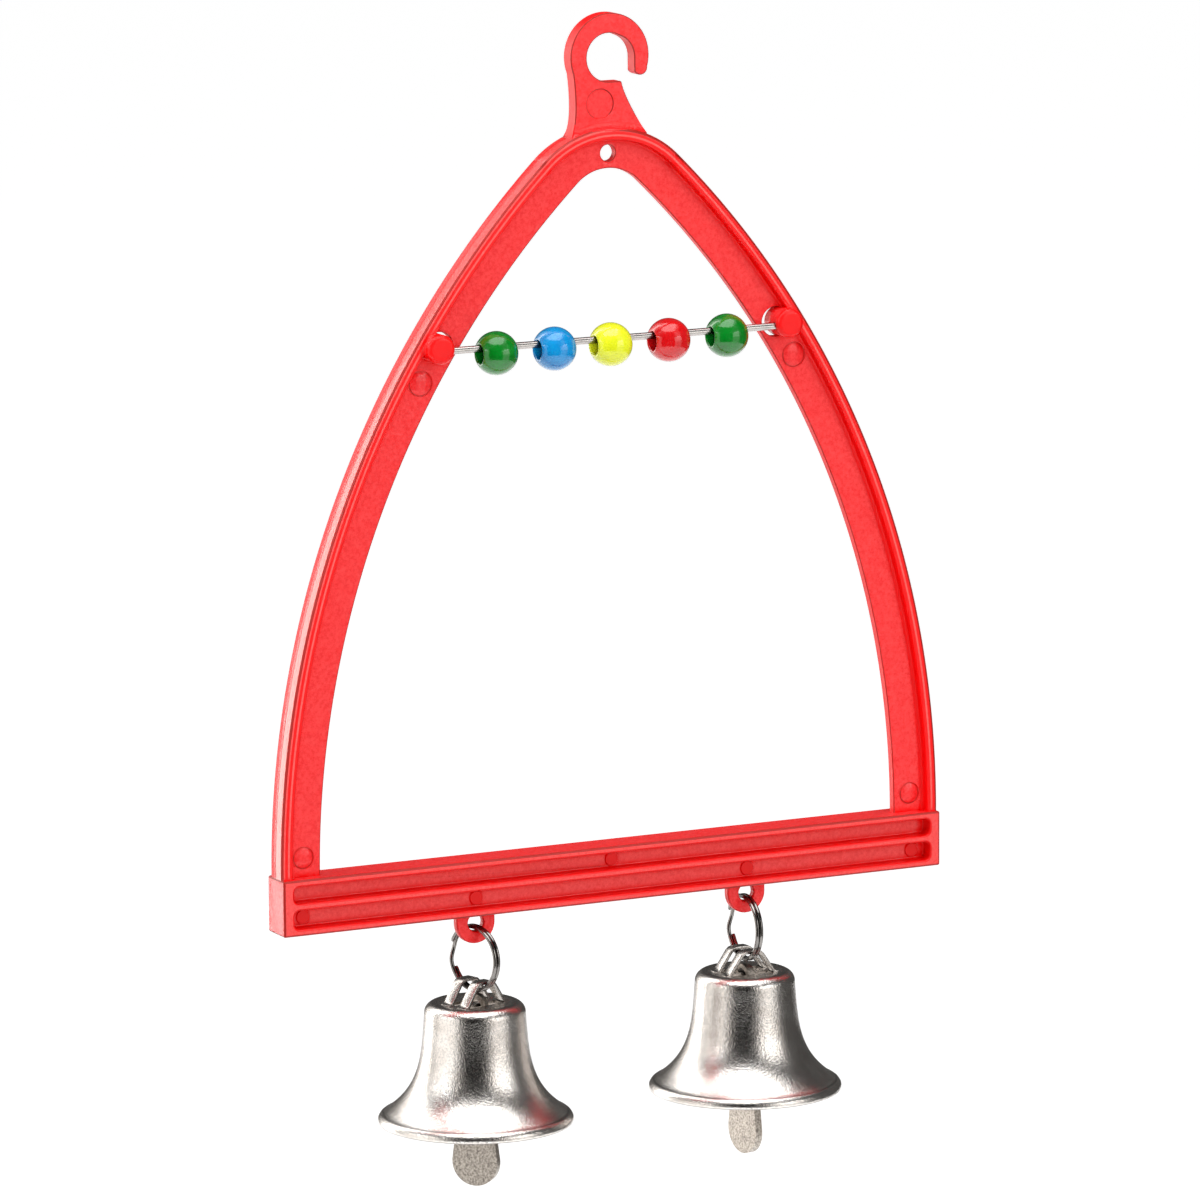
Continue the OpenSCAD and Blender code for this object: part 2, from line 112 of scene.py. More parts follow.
def lathe(profile, turns=144, closed=False):
    """A round body about Z from (radius, height) points; a point on the axis is one vertex."""
    bm = bmesh.new()
    angles = [2 * math.pi * k / turns for k in range(turns)]
    rows = []
    for r, z in profile:
        if r < ON_AXIS:
            rows.append([bm.verts.new((0, 0, z))])
        else:
            rows.append([bm.verts.new((r * math.cos(a), r * math.sin(a), z)) for a in angles])
    for a, b in list(zip(rows, rows[1:])) + ([(rows[-1], rows[0])] if closed else []):
        for k in range(turns):
            n = (k + 1) % turns
            loop = [a[k % len(a)], b[k % len(b)], b[n % len(b)], a[n % len(a)]]
            bm.faces.new([v for i, v in enumerate(loop) if v not in loop[:i]])
    bmesh.ops.recalc_face_normals(bm, faces=bm.faces)
    return bm


def skin(bm, rows):
    """Joins rows of points into one closed body, with a cap at each end."""
    count = len(rows[0])
    for a, b in zip(rows, rows[1:]):
        for k in range(count):
            n = (k + 1) % count
            bm.faces.new((a[k], a[n], b[n], b[k]))
    bm.faces.new(rows[0])
    bm.faces.new(rows[-1])
    bmesh.ops.remove_doubles(bm, verts=bm.verts, dist=WELD)
    bmesh.ops.recalc_face_normals(bm, faces=bm.faces)
    return bm


def tube(points, radius, sides, chamfer):
    """A round tube along a polyline, chamfered at both ends."""
    bm = bmesh.new()
    angles = [2 * math.pi * k / sides for k in range(sides)]
    rows, last, side = [], len(points) - 1, None
    for i, p in enumerate(points):
        t = (points[min(i + 1, last)] - points[max(i - 1, 0)]).normalized()
        if side is None:
            side = t.orthogonal().normalized()
        side = (side - t * side.dot(t)).normalized()
        up = t.cross(side)
        r = radius - (chamfer if i in (0, last) else 0.0)
        rows.append([bm.verts.new(p + r * (math.cos(a) * side + math.sin(a) * up)) for a in angles])
    return skin(bm, rows)


def slab(low, high):
    """A box between two corners."""
    bm = bmesh.new()
    bmesh.ops.create_cube(bm, size=1.0)
    low, high = Vector(low), Vector(high)
    for v in bm.verts:
        v.co = Vector((low[i] + (v.co[i] + 0.5) * (high[i] - low[i]) for i in range(3)))
    return bm


def applied(ob):
    """The object with its modifiers worked into a new mesh."""
    dep = bpy.context.evaluated_depsgraph_get()
    me = bpy.data.meshes.new_from_object(ob.evaluated_get(dep))
    old = ob.data
    ob.modifiers.clear()
    ob.data = me
    bpy.data.meshes.remove(old)
    return ob


def combine(ob, others, operation):
    """Joins or cuts solids exactly; the tools are removed."""
    for o in others:
        m = ob.modifiers.new(operation, "BOOLEAN")
        m.operation, m.solver, m.object = operation, "MANIFOLD", o
        applied(ob)
        bpy.data.objects.remove(o)
    return ob


def bevel(ob, width, angle=40.0, segments=2):
    """Rounds the edges that are sharper than the angle, by a modifier."""
    m = ob.modifiers.new("edges", "BEVEL")
    m.width, m.segments = width * MM, segments
    m.limit_method, m.angle_limit = "ANGLE", math.radians(angle)
    m.use_clamp_overlap = False
    m.miter_outer = "MITER_ARC"


def placed(ob, matrix):
    """Moves the mesh, not the object, so that every object sits at the origin."""
    m = matrix.copy()
    m.translation = m.translation * MM
    ob.data.transform(m)
    return ob


def facing(place, axis):
    """At a place, with the body's own X turned to a level axis."""
    return Matrix.Translation(place) @ Matrix.Rotation(math.atan2(axis.y, axis.x), 4, "Z")


def paint_tones(ob, tone_at):
    """Stores a tone on each face, worked out from its centre and its normal."""
    tones = ob.data.attributes.new("tone", "FLOAT", "FACE")
    for face, value in zip(ob.data.polygons, tones.data):
        value.value = tone_at(face.center / MM, face.normal)


# ---------------------------------------------------------------- materials
def empty_tree(owner):
    """The node tree of a new material or world, without its first nodes."""
    owner.use_nodes = True
    owner.node_tree.nodes.clear()
    return owner.node_tree


def to_output(nt, shader, output="ShaderNodeOutputMaterial"):
    nt.links.new(shader.outputs[0], nt.nodes.new(output).inputs["Surface"])


def set_values(node, values):
    for name, value in values.items():
        node.inputs[name].default_value = value


def material(name):
    """A new material with a principled shader: the material, its node tree and the shader."""
    m = bpy.data.materials.new(name)
    nt = empty_tree(m)
    bsdf = nt.nodes.new("ShaderNodeBsdfPrincipled")
    to_output(nt, bsdf)
    return m, nt, bsdf


def noise(nt, scale, detail=4.0, rough=0.5):
    """Noise in object space; the scale is in cells per millimetre."""
    tc = nt.nodes.new("ShaderNodeTexCoord")
    mp = nt.nodes.new("ShaderNodeMapping")
    mp.inputs["Scale"].default_value = [scale / MM] * 3
    tex = nt.nodes.new("ShaderNodeTexNoise")
    set_values(tex, {"Scale": 1.0, "Detail": detail, "Roughness": rough})
    nt.links.new(tc.outputs["Object"], mp.inputs["Vector"])
    nt.links.new(mp.outputs[0], tex.inputs["Vector"])
    return tex.outputs["Fac"]


def ramp(nt, fac, low, high):
    """A colour ramp between two (position, colour) stops."""
    r = nt.nodes.new("ShaderNodeValToRGB")
    for stop, (position, colour) in zip(r.color_ramp.elements, (low, high)):
        stop.position, stop.color = position, (*colour, 1.0)
    nt.links.new(fac, r.inputs["Fac"])
    return r.outputs["Color"]


def scalar(nt, fac, low, high, a=0.3, b=0.7):
    """Takes a value from the range a to b into the range low to high."""
    m = nt.nodes.new("ShaderNodeMapRange")
    set_values(m, {"From Min": a, "From Max": b, "To Min": low, "To Max": high})
    nt.links.new(fac, m.inputs["Value"])
    return m.outputs[0]


def larger(nt, a, b, clamp=False):
    """The larger of two values."""
    node = nt.nodes.new("ShaderNodeMath")
    node.operation, node.use_clamp = "MAXIMUM", clamp
    nt.links.new(a, node.inputs[0])
    nt.links.new(b, node.inputs[1])
    return node.outputs[0]


def bump(nt, bsdf, height, distance):
    b = nt.nodes.new("ShaderNodeBump")
    b.inputs["Distance"].default_value = distance * MM
    nt.links.new(height, b.inputs["Height"])
    nt.links.new(b.outputs[0], bsdf.inputs["Normal"])


def mixed(nt, fac, a, b):
    """A colour between a and b, each a socket or a fixed colour."""
    mx = nt.nodes.new("ShaderNodeMix")
    mx.data_type = "RGBA"
    nt.links.new(fac, mx.inputs[0])
    for socket, colour in ((mx.inputs[6], a), (mx.inputs[7], b)):
        if isinstance(colour, tuple):
            socket.default_value = (*colour, 1.0)
        else:
            nt.links.new(colour, socket)
    return mx.outputs[2]


def corners(nt, reach, open_at, closed_at):
    """1 in corners and hollows, 0 on open faces."""
    ao = nt.nodes.new("ShaderNodeAmbientOcclusion")
    ao.samples = 12
    ao.inputs["Distance"].default_value = reach * MM
    return scalar(nt, ao.outputs["AO"], 0.0, 1.0, open_at, closed_at)


def face_tone(nt):
    """The tone stored on the faces; 0 where a mesh has none."""
    node = nt.nodes.new("ShaderNodeAttribute")
    node.attribute_name = "tone"
    return node.outputs["Fac"]


def darker(colour, share):
    return tuple(share * c for c in colour)


RED_LIGHT, RED_DARK = (0.96, 0.060, 0.062), (0.82, 0.020, 0.023)
# painted light and shade on the red moulding: a pale painted light, a deep-red painted shade, and a
# dark brown painted shade for thin edges
RED_PAINTED_LIGHT, RED_PAINTED_SHADE, RED_PAINTED_EDGE_SHADE = (1.0, 0.37, 0.33), (0.86, 0.0008, 0.0015), (0.20, 0.016, 0.010)


def red_plastic():
    """Mottled red; the faces' tone leads from a painted pale light over plain to a painted deep-red
    shade and painted dark brown edges.
    """
    m, nt, p = material("red_plastic")
    tone = face_tone(nt)
    mottle = ramp(nt, noise(nt, 1.7, 5.0, 0.7), (0.36, RED_DARK), (0.64, RED_LIGHT))
    # painted light: paler where the face's tone is below 0
    colour = mixed(nt, scalar(nt, tone, 1.0, 0.0, -1.0, 0.0), mottle, RED_PAINTED_LIGHT)
    # painted shade: deep red where the face's tone says so, and in corners and hollows by ambient
    # occlusion
    deep = larger(nt, tone, corners(nt, 1.5, 0.93, 0.62), clamp=True)
    colour = mixed(nt, deep, colour, RED_PAINTED_SHADE)
    # painted shade: dark brown lines where the tone runs from 1 to 2
    colour = mixed(nt, scalar(nt, tone, 0.0, 1.0, 1.0, 2.0), colour, RED_PAINTED_EDGE_SHADE)
    nt.links.new(colour, p.inputs["Base Color"])
    plain_rough = scalar(nt, noise(nt, 0.5), 0.10, 0.17)
    edge_rough = scalar(nt, tone, 0.1, 0.32, 0.5, 0.6)
    nt.links.new(larger(nt, plain_rough, edge_rough), p.inputs["Roughness"])
    set_values(p, {
        "IOR": 1.49, "Specular IOR Level": 0.22, "Transmission Weight": 0.12,
        "Subsurface Weight": 0.4, "Subsurface Radius": (1.0, 0.12, 0.10),
        "Subsurface Scale": 2.2 * MM})
    bump(nt, p, noise(nt, 0.35, 2.0), 0.04)
    return m


def metal(name, light, dark, rough, grain_scale, grain, tarnish=0.25, speck=0.0):
    """Metal with dull patches, painted shade in its corners and on faces with a tone, and a fine
    grain.
    """
    m, nt, p = material(name)
    p.inputs["Metallic"].default_value = 1.0
    plate = ramp(nt, noise(nt, tarnish, rough=0.6), (0.3, dark), (0.65, light))
    fine = noise(nt, grain_scale, 3.0, 0.6)
    if speck:
        plate = mixed(nt, scalar(nt, fine, 0.0, speck, 0.46, 0.62), plate, darker(dark, 0.2))
    # painted shade: darker in corners and hollows by ambient occlusion, and on faces by their stored
    # tone
    painted_shade = larger(nt, face_tone(nt), corners(nt, 3.0, 0.8, 0.3))
    nt.links.new(mixed(nt, painted_shade, plate, darker(dark, 0.24)), p.inputs["Base Color"])
    nt.links.new(scalar(nt, fine, *rough), p.inputs["Roughness"])
    bump(nt, p, fine, grain)
    return m


def bead_material(name, colour, deep):
    """Glossy, slightly clouded plastic."""
    m, nt, p = material(name)
    clouds = ramp(nt, noise(nt, 0.3, 3.0), (0.35, deep), (0.65, colour))
    nt.links.new(clouds, p.inputs["Base Color"])
    nt.links.new(scalar(nt, noise(nt, 1.1), 0.12, 0.3), p.inputs["Roughness"])
    set_values(p, {
        "IOR": 1.5, "Specular IOR Level": 0.3, "Coat Weight": 0.7, "Coat Roughness": 0.04,
        "Subsurface Weight": 0.35, "Subsurface Radius": (0.5, 0.5, 0.5),
        "Subsurface Scale": 1.6 * MM})
    bump(nt, p, noise(nt, 0.9, 3.0), 0.03)
    return m


RED = red_plastic()
# light and dark colour, range of roughness, cells of grain per millimetre, depth of the grain
NICKEL = metal("nickel", (0.86, 0.825, 0.79), (0.70, 0.655, 0.61), (0.19, 0.27), 2.6, 0.070,
               speck=0.18)
RING_STEEL = metal("ring_steel", (0.30, 0.285, 0.27), (0.16, 0.15, 0.145), (0.10, 0.20), 1.2,
                   0.006)
WIRE_STEEL = metal("steel_wire", (0.52, 0.50, 0.48), (0.30, 0.285, 0.275), (0.16, 0.28), 1.5,
                   0.006)
STAMPED = metal("stamped_steel", (0.55, 0.50, 0.44), (0.15, 0.13, 0.115), (0.36, 0.50), 2.4,
                0.05, tarnish=2.6)
GREEN = ("green_bead", (0.0008, 0.20, 0.014), (0.0004, 0.145, 0.008))
BEAD_COLOURS = {
    "bead_1_green": GREEN,
    "bead_2_blue": ("blue_bead", (0.003, 0.27, 0.60), (0.001, 0.21, 0.52)),
    "bead_3_yellow": ("yellow_bead", (0.75, 0.80, 0.022), (0.66, 0.71, 0.012)),
    "bead_4_red": ("red_bead", (0.66, 0.005, 0.008), (0.54, 0.003, 0.005)),
    "bead_5_green": GREEN,
}


def dress(ob, mat):
    ob.data.materials.clear()
    ob.data.materials.append(mat)
    return ob


def carried(node, mat):
    """A CAD node that stays gets its finished material."""
    ob = NODES[node]
    if not ob.material_slots:
        ob.data.materials.append(mat)
    for s in ob.material_slots:
        s.material = mat
    return ob


# ---------------------------------------------------------------- the moulded frame: the arch
# two long arcs for the legs and a small one at the top, all with a T section
LEG_R, LEG_W = 176.0, 8.4
APEX_R, APEX_W = 19.5, 7.5
LEG_CX = LEG_R - HALF_W
APEX_Z = ARCH_TOP - APEX_R
APEX_A = math.atan2(APEX_Z - BAR_TOP, LEG_CX)
LEG_STEPS, APEX_STEPS = 72, 20
WEB_T, WEB_ROUND = 1.7, 0.2
FLANGE_T, FLANGE_ROUND, FLANGE_LIP, FLANGE_FOOT = 2.2, 0.8, 0.22, 0.55
FLANGE_HIGHLIGHT_BANDS = (1.2, 1.55)  # from the outer edge, between which a highlight is painted on the front
DRAFT, DRAFT_MIDDLE = 0.085, 1.0
PARTING_IN, PARTING_HALF = 0.06, 0.13
SINK, FOOT_INSET = 0.45, 0.08  # how far joined parts reach into each other

# the bosses of the wire, the hole in the top, and the round marks of the mould
BOSS_R, BOSS_ROUND, BOSS_RISE, BOSS_INSET, BOSS_HOLE_INSET = 2.7, 0.9, 0.5, 3.82, 4.86
BOSS_DISH, BOSS_DISH_R, BOSS_FOOT = 0.03, 1.2, 0.15
WIRE_BORE_R, WIRE_END_ROOM = 0.7, 0.05
APEX_HOLE_R, APEX_HOLE_DROP = 1.5, 4.75
MARK_R, MARK_DROP, FOOT_MARK_R, FOOT_MARK_RISE, MARK_INSET = 2.4, 6.4, 2.1, 3.4, 5.05
MARK_PROFILE = ((0.04, 0.0), (-0.02, 0.2), (-0.2, 0.2), (-0.32, 0.1))  # (past its radius, depth)
TOOL_OUT = 0.4


def leg_x(inset, z):
    """Where a leg is, at a height and a distance in from its outer edge."""
    return math.sqrt((LEG_R - inset) ** 2 - (z - BAR_TOP) ** 2) - LEG_CX


def flange_section():
    """Half the flange as (inset, y), from the middle of its outer face round to its foot."""
    r, f, w = FLANGE_ROUND, FLANGE_LIP, FLANGE_FOOT
    pts = [(PARTING_IN, 0.0), (0.0, PARTING_HALF), (DRAFT / 2, DRAFT_MIDDLE)]
    pts += [(DRAFT + (r - DRAFT) * (1 - x / r), y)
            for x, y in arc(0, FLANGE_FRONT - r, r, 0, 90, 8)]
    pts += [(x, FLANGE_FRONT) for x in FLANGE_HIGHLIGHT_BANDS]
    pts += reversed(arc(FLANGE_T - f, FLANGE_FRONT - f, f, 0, 90, 4))
    pts += arc(FLANGE_T + w, WEB_T / 2 + w, w, 180, 270, 5)
    return pts


def arch_stations():
    """Outer point, outward direction and inner point of the web, from foot to foot."""
    right = [((HALF_W - FOOT_INSET, BAR_TOP - SINK), (1.0, 0.0), (HALF_W - LEG_W, BAR_TOP - SINK))]
    for k in range(LEG_STEPS + 1):
        c, n = math.cos(APEX_A * k / LEG_STEPS), math.sin(APEX_A * k / LEG_STEPS)
        right.append(((LEG_R * c - LEG_CX, BAR_TOP + LEG_R * n), (c, n),
                      ((LEG_R - LEG_W) * c - LEG_CX, BAR_TOP + (LEG_R - LEG_W) * n)))
    rise = (LEG_W - APEX_W) / (1 - math.sin(APEX_A))
    inner_r = APEX_R - LEG_W - rise * math.sin(APEX_A)
    for k in range(APEX_STEPS + 1):
        a = APEX_A + (math.pi / 2 - APEX_A) * k / APEX_STEPS
        c, n = math.cos(a), math.sin(a)
        right.append(((APEX_R * c, APEX_Z + APEX_R * n), (c, n),
                      (inner_r * c, APEX_Z + rise + inner_r * n)))
    left = [((-p[0], p[1]), (-n[0], n[1]), (-q[0], q[1])) for p, n, q in reversed(right[:-1])]
    return right + left


def arch_sweep():
    """The T section carried round the arch."""
    flange = flange_section()
    inner_edge = list(reversed(arc(0, WEB_T / 2 - WEB_ROUND, WEB_ROUND, 0, 90, 3)))
    bm = bmesh.new()
    rows = []
    for p, n, q in arch_stations():
        p, n, q = Vector(p), Vector(n), Vector(q)
        depth, d = (q - p).length, (q - p).normalized()
        side = [(p - n * x, y) for x, y in flange]
        side += [(p + d * (depth - WEB_ROUND + x), y) for x, y in inner_edge]
        loop = side + [(v, -y) for v, y in reversed(side[1:])]
        rows.append([bm.verts.new((v.x, y, v.y)) for v, y in loop])
    return mesh_object("moulded_frame", skin(bm, rows))


def round_tool(name, profile, place, along="Y", turns=64):
    """A turned body whose axis runs along Y, to the back, or along X."""
    angle, about = (-90, "X") if along == "Y" else (90, "Y")
    turn = Matrix.Rotation(math.radians(angle), 4, about)
    return placed(mesh_object(name, lathe(profile, turns)), Matrix.Translation(place) @ turn)


def hole_tool(r, place, reach=1.35, lip=0.14):
    """Cuts a round hole through the web, with its lips chamfered."""
    h = WEB_T / 2
    profile = [(0, -reach), (r + lip, -reach), (r + lip, -h), (r, -h + lip)]
    profile += [(x, -z) for x, z in reversed(profile)]
    return round_tool("cut", profile, place)


def mark_tool(r, x, z):
    """Cuts a round mark into the web's front: a slightly sunk disc with a finer line round it."""
    profile = [(0, -TOOL_OUT), (r + TOOL_OUT, -TOOL_OUT)]
    profile += [(r + past, depth) for past, depth in MARK_PROFILE]
    profile.append((0, MARK_PROFILE[-1][1]))
    return round_tool("cut", profile, (x, -WEB_T / 2, z))


def boss_tool(x, z):
    r, f, back = BOSS_R, BOSS_ROUND, WEB_T / 2
    profile = [(0, -BOSS_FRONT + BOSS_DISH), (BOSS_DISH_R, -BOSS_FRONT)]
    profile += [(r - f + cx, -BOSS_FRONT + f - cy) for cx, cy in reversed(arc(0, 0, f, 0, 90, 8))]
    profile += [(r, back - BOSS_FOOT), (r - BOSS_FOOT, back), (0, back)]
    return round_tool("boss", profile, (x, 0, z))


def build_arch():
    """The arch with its two bosses, their cut-outs, the wire's bores and the round marks."""
    ob = arch_sweep()
    low, high = box_mm("bead_wire")
    wire = (low + high) / 2
    boss_z = wire.z + BOSS_RISE
    hole_x, boss_x = leg_x(BOSS_HOLE_INSET, boss_z), leg_x(BOSS_INSET, boss_z)
    combine(ob, [hole_tool(BOSS_R, (s * hole_x, 0, boss_z)) for s in BOTH], "DIFFERENCE")
    combine(ob, [boss_tool(s * boss_x, boss_z) for s in BOTH], "UNION")
    half = high.x + WIRE_END_ROOM
    bore = [(0, -half), (WIRE_BORE_R, -half), (WIRE_BORE_R, half), (0, half)]
    cuts = [round_tool("cut", bore, (0, wire.y, wire.z), "X", 32),
            hole_tool(APEX_HOLE_R, (0, 0, ARCH_TOP - APEX_HOLE_DROP))]
    for r, z in ((MARK_R, boss_z - MARK_DROP), (FOOT_MARK_R, BAR_TOP + FOOT_MARK_RISE)):
        cuts += [mark_tool(r, s * leg_x(MARK_INSET, z), z) for s in BOTH]
    return combine(ob, cuts, "DIFFERENCE")


# ---------------------------------------------------------------- the moulded frame: bar and hook
BAR_ROUND, HOOK_ROUND, FINE_ROUND = 0.36, 0.2, 0.07
SHARP, FLAT = math.radians(26.0), math.radians(0.4)
MARK_WALL, UPRIGHT = (0.08, 0.32), 0.1
# the eye's round top, and the corners of its mouth as (x, height)
EYE_X, EYE_Z, EYE_R = 0.85, -0.25, 4.3
EYE_MOUTH = ((-3.45, -2.0), (0.0, -3.3), (5.15, -3.3))
EYE_HALF_DEPTH = 3.0
FOOT_NEAR, FOOT_NARROWER, FOOT_THINNER = 0.03, 0.99, 0.98


def cad_copy(node):
    """A welded copy of a CAD node's mesh, in millimetres."""
    bm = in_millimetres(NODES[node].data)
    bmesh.ops.remove_doubles(bm, verts=bm.verts, dist=WELD)
    return bm


def low_wall(face):
    """The wall of a shallow mark or pad."""
    ys = [v.co.y for v in face.verts]
    return MARK_WALL[0] < max(ys) - min(ys) < MARK_WALL[1] and abs(face.normal.y) < UPRIGHT


def rounded(bm, width):
    """Rounds the edges of one part before it is joined; marks and pads get the fine width."""
    bmesh.ops.dissolve_limit(bm, angle_limit=FLAT, verts=bm.verts, edges=bm.edges)
    sharp = [e for e in bm.edges if len(e.link_faces) == 2 and e.calc_face_angle(0.0) > SHARP]
    fine = [e for e in sharp if any(low_wall(f) for f in e.link_faces)]
    small = set(fine)
    coarse = [e for e in sharp if e not in small]
    for edges, offset, steps in ((coarse, width, 3), (fine, FINE_ROUND, 1)):
        bmesh.ops.bevel(bm, geom=[e for e in edges if e.is_valid], offset=offset,
                        offset_type="OFFSET", segments=steps, profile=0.5, affect="EDGES",
                        clamp_overlap=False)
    return bm


def eye_cutter():
    """The eye is wider on the side of its mouth than a circle."""
    bm = bmesh.new()
    outline = arc(EYE_X, EYE_Z, EYE_R, 0, 180, 36) + list(EYE_MOUTH)
    rows = [[bm.verts.new((x, s * EYE_HALF_DEPTH, z)) for x, z in outline] for s in BOTH]
    return mesh_object("cut", skin(bm, rows))


def build_hook():
    """The CAD's hook with a wider eye, its foot sunk into the arch and its edges rounded."""
    hook = combine(mesh_object("hook_part", cad_copy("hanging_hook")), [eye_cutter()], "DIFFERENCE")
    bm = in_millimetres(hook.data)
    bpy.data.objects.remove(hook)
    bmesh.ops.remove_doubles(bm, verts=bm.verts, dist=BOOLEAN_WELD)
    centre = Vector((0, 0, APEX_Z))
    for v in bm.verts:
        flat = Vector((v.co.x, 0, v.co.z)) - centre
        if abs(flat.length - APEX_R) < FOOT_NEAR:
            v.co -= flat.normalized() * SINK
            v.co.x *= FOOT_NARROWER
            v.co.y *= FOOT_THINNER
    return mesh_object("hook_part", rounded(bm, HOOK_ROUND))


# Tones of the red faces, painted light and shade: below 0 a paler painted light, 0 plain, 1 a
# deep-red painted shade, 2 the painted dark brown of thin edges.
TONE = {
    "plain": 0.0, "back": 0.1,
    "lug_wall": 0.6, "lug_edge": 1.3,
    "bar_ridge": -0.12, "bar_side": 0.35, "bar_edge": 1.75,
    "channel_floor": -0.1, "channel_wall": 1.1,
    "hook_foot": 0.5, "hook_wall": 0.9, "hook_edge": 1.8,
    "boss": 0.95, "hole_wall": 0.6, "mark_line": 1.3, "web_edge": 1.7,
    "parting": 1.6, "flange_rim": 1.7, "flange_edge": 1.75, "lit_edge": -0.2,
    "flange_face": 0.95, "flange_painted_highlight": -0.25, "flange_wall": 1.0,
}
# the painted reflection on the arch's outer face: its tone at the feet, how much it fades, and over
# what height
PALE_AT_FOOT, PALE_FADE, PALE_REACH = -0.75, 0.55, 100.0
NEAR = 0.02  # a face nearer than this to a size lies on it
# how much of a face's normal points to the front or back, from plain faces to upright walls
FACE, LUG_FACE, CHANNEL_FACE, STEEP, WEB_WALL, WALL = 0.98, 0.95, 0.9, 0.5, 0.3, 0.2
CHANNEL_Y, MARK_LINE_Y = 1.0, (0.6, 0.7)
HOOK_FOOT_H, HOOK_OVERLAP = 2.2, 0.5
# distances in from the arch's outer edge
OUTER_IN, RIM_IN, LIT_IN, EDGE_IN, FLANGE_IN = 0.2, 0.12, 0.38, 0.6, 2.8


def edge_inset(x, z):
    """How far a point of the arch lies inside its outer edge."""
    x = abs(x)
    if math.atan2(z - APEX_Z, x) > APEX_A:
        return APEX_R - math.hypot(x, z - APEX_Z)
    return LEG_R - math.hypot(x + LEG_CX, z - BAR_TOP)


def outer_painted_reflection(c):
    """The arch's outer face: a painted reflection, pale in front and the palest at the feet; nearly
    plain behind.
    """
    if c.y >= 0:
        return TONE["back"]
    return PALE_AT_FOOT + PALE_FADE * max(0.0, (c.z - APEX_Z) / PALE_REACH + 1)


def lug_tone(flat):
    """The lugs under the bar: a deep-red painted shade on their walls and painted dark edges."""
    return TONE["plain" if flat > LUG_FACE else "lug_wall" if flat < WALL else "lug_edge"]


def bar_tone(c, y, flat):
    """Ridges and channel floors get a paler painted light, channel walls a deep-red painted shade,
    the top and bottom sides a lighter painted shade, and rounded edges painted dark brown.
    """
    if y > BAR_FRONT - NEAR:
        return TONE["bar_ridge"]
    if y < CHANNEL_Y and flat > CHANNEL_FACE:
        return TONE["channel_floor"]
    if c.z > BAR_TOP - NEAR or c.z < BAR_BOTTOM + NEAR:
        return TONE["bar_side"]
    if abs(c.x) > HALF_W - NEAR:
        return TONE["plain"]
    inset = min(BAR_TOP - c.z, c.z - BAR_BOTTOM, HALF_W - abs(c.x))
    return TONE["bar_edge" if inset < BAR_ROUND else "channel_wall"]


def hook_tone(inset, flat):
    """Plain faces with a deep-red painted shade on the walls and painted dark brown edges, softer at
    the foot.
    """
    if flat > FACE:
        return TONE["plain"]
    if inset > -HOOK_FOOT_H and flat > WALL:
        return TONE["hook_foot"]
    return TONE["hook_wall" if flat < WALL else "hook_edge"]


def web_tone(c, n, inset, y, flat):
    """The web and what lies in its thickness: painted dark lines at the parting line, the marks'
    lines and the inner edge, a deep-red painted shade on the hole walls, and the outer face's painted
    reflection.
    """
    outward = Vector((c.x, 0, c.z - APEX_Z)).normalized()
    if inset < OUTER_IN and n.dot(outward) > WALL:
        return TONE["parting"] if y < PARTING_HALF else outer_painted_reflection(c)
    if flat < WEB_WALL:
        return TONE["hole_wall"]
    if MARK_LINE_Y[0] < y < MARK_LINE_Y[1]:
        return TONE["mark_line"]
    return TONE["web_edge" if flat < FACE else "plain"]


def flange_tone(c, inset, flat):
    """The flange from its outer rim over its front to its inner wall: painted dark rims and edges on
    the right, a painted highlight on the left edges and on a band of the front, and a deep-red
    painted shade on the front and inner wall.
    """
    if inset < RIM_IN:
        # painted shade: a dark rim on the right; elsewhere the outer face's painted reflection
        return TONE["flange_rim"] if c.x > 0 and flat > WALL else outer_painted_reflection(c)
    if inset < EDGE_IN:
        # painted shade on the right edges, a painted highlight on the left edges
        return TONE["flange_edge" if c.x > 0 or inset < LIT_IN else "lit_edge"]
    if inset > FLANGE_IN:
        return TONE["plain"]
    if flat < STEEP or inset > FLANGE_T:
        return TONE["flange_wall"]
    in_painted_highlight = FLANGE_HIGHLIGHT_BANDS[0] < inset < FLANGE_HIGHLIGHT_BANDS[1]
    return TONE["flange_painted_highlight" if in_painted_highlight else "flange_face"]


def moulding_tone(c, n):
    """The painted light and shade of a face of the red moulding, from its centre and its normal."""
    y, flat = abs(c.y), abs(n.y)
    if c.z < BAR_BOTTOM - NEAR:
        return lug_tone(flat)
    if c.z < BAR_TOP + NEAR:
        return bar_tone(c, y, flat)
    inset = edge_inset(c.x, c.z)
    if inset < -NEAR or c.z > ARCH_TOP - HOOK_OVERLAP:
        return hook_tone(inset, flat)
    if y > FLANGE_FRONT + NEAR:
        return TONE["boss"]
    if y < WEB_T / 2 + NEAR / 2:
        return web_tone(c, n, inset, y, flat)
    return flange_tone(c, inset, flat)


def build_frame():
    """Arch, hook and bar joined into one moulding."""
    ob, hook = build_arch(), build_hook()
    bar = mesh_object("bar_part", rounded(cad_copy("perch_bar"), BAR_ROUND))
    combine(ob, [hook, bar], "UNION")
    soften(ob, 40.0)
    m = ob.modifiers.new("normals", "WEIGHTED_NORMAL")
    m.keep_sharp, m.weight, m.mode = True, 80, "FACE_AREA"
    applied(ob)
    paint_tones(ob, moulding_tone)
    return dress(ob, RED)


# ---------------------------------------------------------------- bells
CROWN_R, SHOULDER_R, BELL_H, SHEET = 7.3, 2.0, 22.4, 0.6
RIM_R, BAND_H, FLARE_W, FLARE_POWER, SLOPE = 17.9, 1.9, 9.19, 4.5, 0.07
BODY_R = CROWN_R + SHOULDER_R * (1 - SLOPE)
BODY_STEPS = 40
